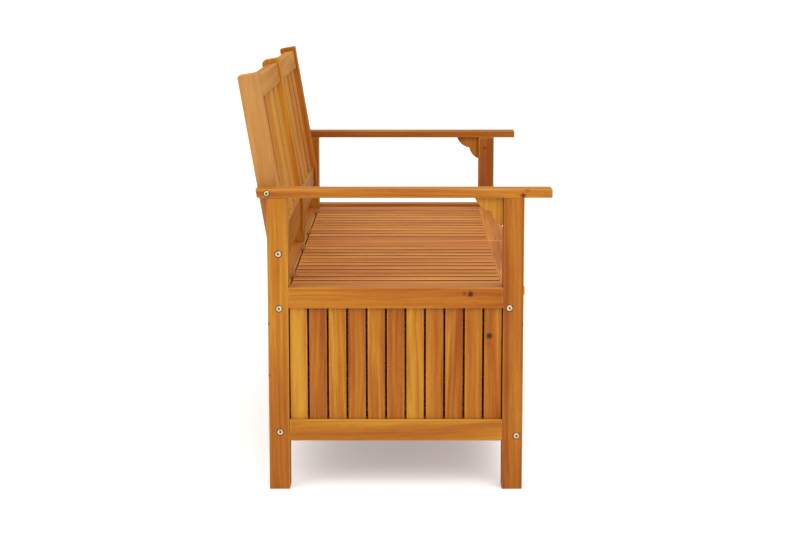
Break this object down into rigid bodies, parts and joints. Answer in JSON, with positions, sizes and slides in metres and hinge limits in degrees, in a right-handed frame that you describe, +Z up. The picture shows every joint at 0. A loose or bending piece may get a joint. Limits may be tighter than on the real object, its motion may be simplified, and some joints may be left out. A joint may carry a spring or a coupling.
{
  "type": "slatted storage bench",
  "caption": "Two-seat slatted wooden garden storage bench with armrests, a leaning slatted back, a slatted box under the seat and hinged lift-up seat lids.",
  "frame": {"origin": "bottom centre of the bounding box, on the floor between the four feet", "axes": "+Z up; X along the length of the bench; the front of the bench faces -Y"},
  "size_m": [1.2, 0.6231, 0.84],
  "materials": {
    "frame_wood": "oiled hardwood, golden brown, satin",
    "armrest_wood": "oiled hardwood, golden brown, satin",
    "box_slat_wood": "oiled hardwood, each slat a different tone, satin",
    "seat_wood": "oiled hardwood, striped grain, satin",
    "back_wood": "oiled hardwood, golden brown, satin",
    "inner_wood": "oiled hardwood, darker, satin",
    "dowel_wood": "plain beech",
    "zinc_bolts": "yellow passivated zinc",
    "zinc_screws": "yellow passivated zinc",
    "hinge_brass": "dull brass",
    "brass_screws": "dull brass"
  },
  "bodies": {
    "frame": {"front_leg_left": "frame_wood", "front_leg_right": "frame_wood", "rear_leg_left": "frame_wood", "rear_leg_right": "frame_wood", "upper_side_rail_left": "frame_wood", "upper_side_rail_right": "frame_wood", "lower_side_rail_left": "frame_wood", "lower_side_rail_right": "frame_wood", "side_slats_left": "box_slat_wood", "side_slats_right": "box_slat_wood", "armrest_left": "armrest_wood", "armrest_right": "armrest_wood", "armrest_bracket_left": "armrest_wood", "armrest_bracket_right": "armrest_wood", "upper_front_rail": "frame_wood", "lower_front_rail": "frame_wood", "front_slats": "box_slat_wood", "upper_rear_rail": "frame_wood", "lower_rear_rail": "frame_wood", "rear_slats": "box_slat_wood", "floor_bearers": "inner_wood", "floor_slats": "inner_wood", "centre_beam": "inner_wood", "hinge_board": "inner_wood", "back_stile_left": "back_wood", "back_stile_middle": "back_wood", "back_stile_right": "back_wood", "crest_rail_left": "back_wood", "crest_rail_right": "back_wood", "back_bottom_rail_left": "back_wood", "back_bottom_rail_right": "back_wood", "back_slats_left": "back_wood", "back_slats_right": "back_wood", "hinge_fixed_leaves": "hinge_brass", "hinge_pins": "hinge_brass", "frame_bolts_left": "zinc_bolts", "frame_bolts_right": "zinc_bolts", "armrest_bolts": "zinc_bolts", "barrel_nuts": "zinc_bolts", "end_dowels": "dowel_wood", "back_dowels": "dowel_wood", "beam_dowels": "dowel_wood", "box_slat_screws": "zinc_screws", "floor_screws": "zinc_screws", "stile_screws": "zinc_screws", "hinge_screws_fixed": "brass_screws"},
    "lid_left": {"lid_front_board_left": "seat_wood", "lid_slats_left": "seat_wood", "lid_battens_left": "seat_wood", "hinge_moving_leaves_left": "hinge_brass", "lid_dowels_left": "dowel_wood", "lid_screws_left": "zinc_screws", "hinge_screws_moving_left": "brass_screws"},
    "lid_right": {"lid_front_board_right": "seat_wood", "lid_slats_right": "seat_wood", "lid_battens_right": "seat_wood", "hinge_moving_leaves_right": "hinge_brass", "lid_dowels_right": "dowel_wood", "lid_screws_right": "zinc_screws", "hinge_screws_moving_right": "brass_screws"}
  },
  "joints": [
    {"name": "lid_left_hinge", "type": "hinge", "parent": "frame", "child": "lid_left", "pos_m": [-0.28, 0.2121, 0.4122], "axis": [-1, 0, 0], "range_deg": [0, 94]},
    {"name": "lid_right_hinge", "type": "hinge", "parent": "frame", "child": "lid_right", "pos_m": [0.28, 0.2121, 0.4122], "axis": [-1, 0, 0], "range_deg": [0, 94]}
  ]
}
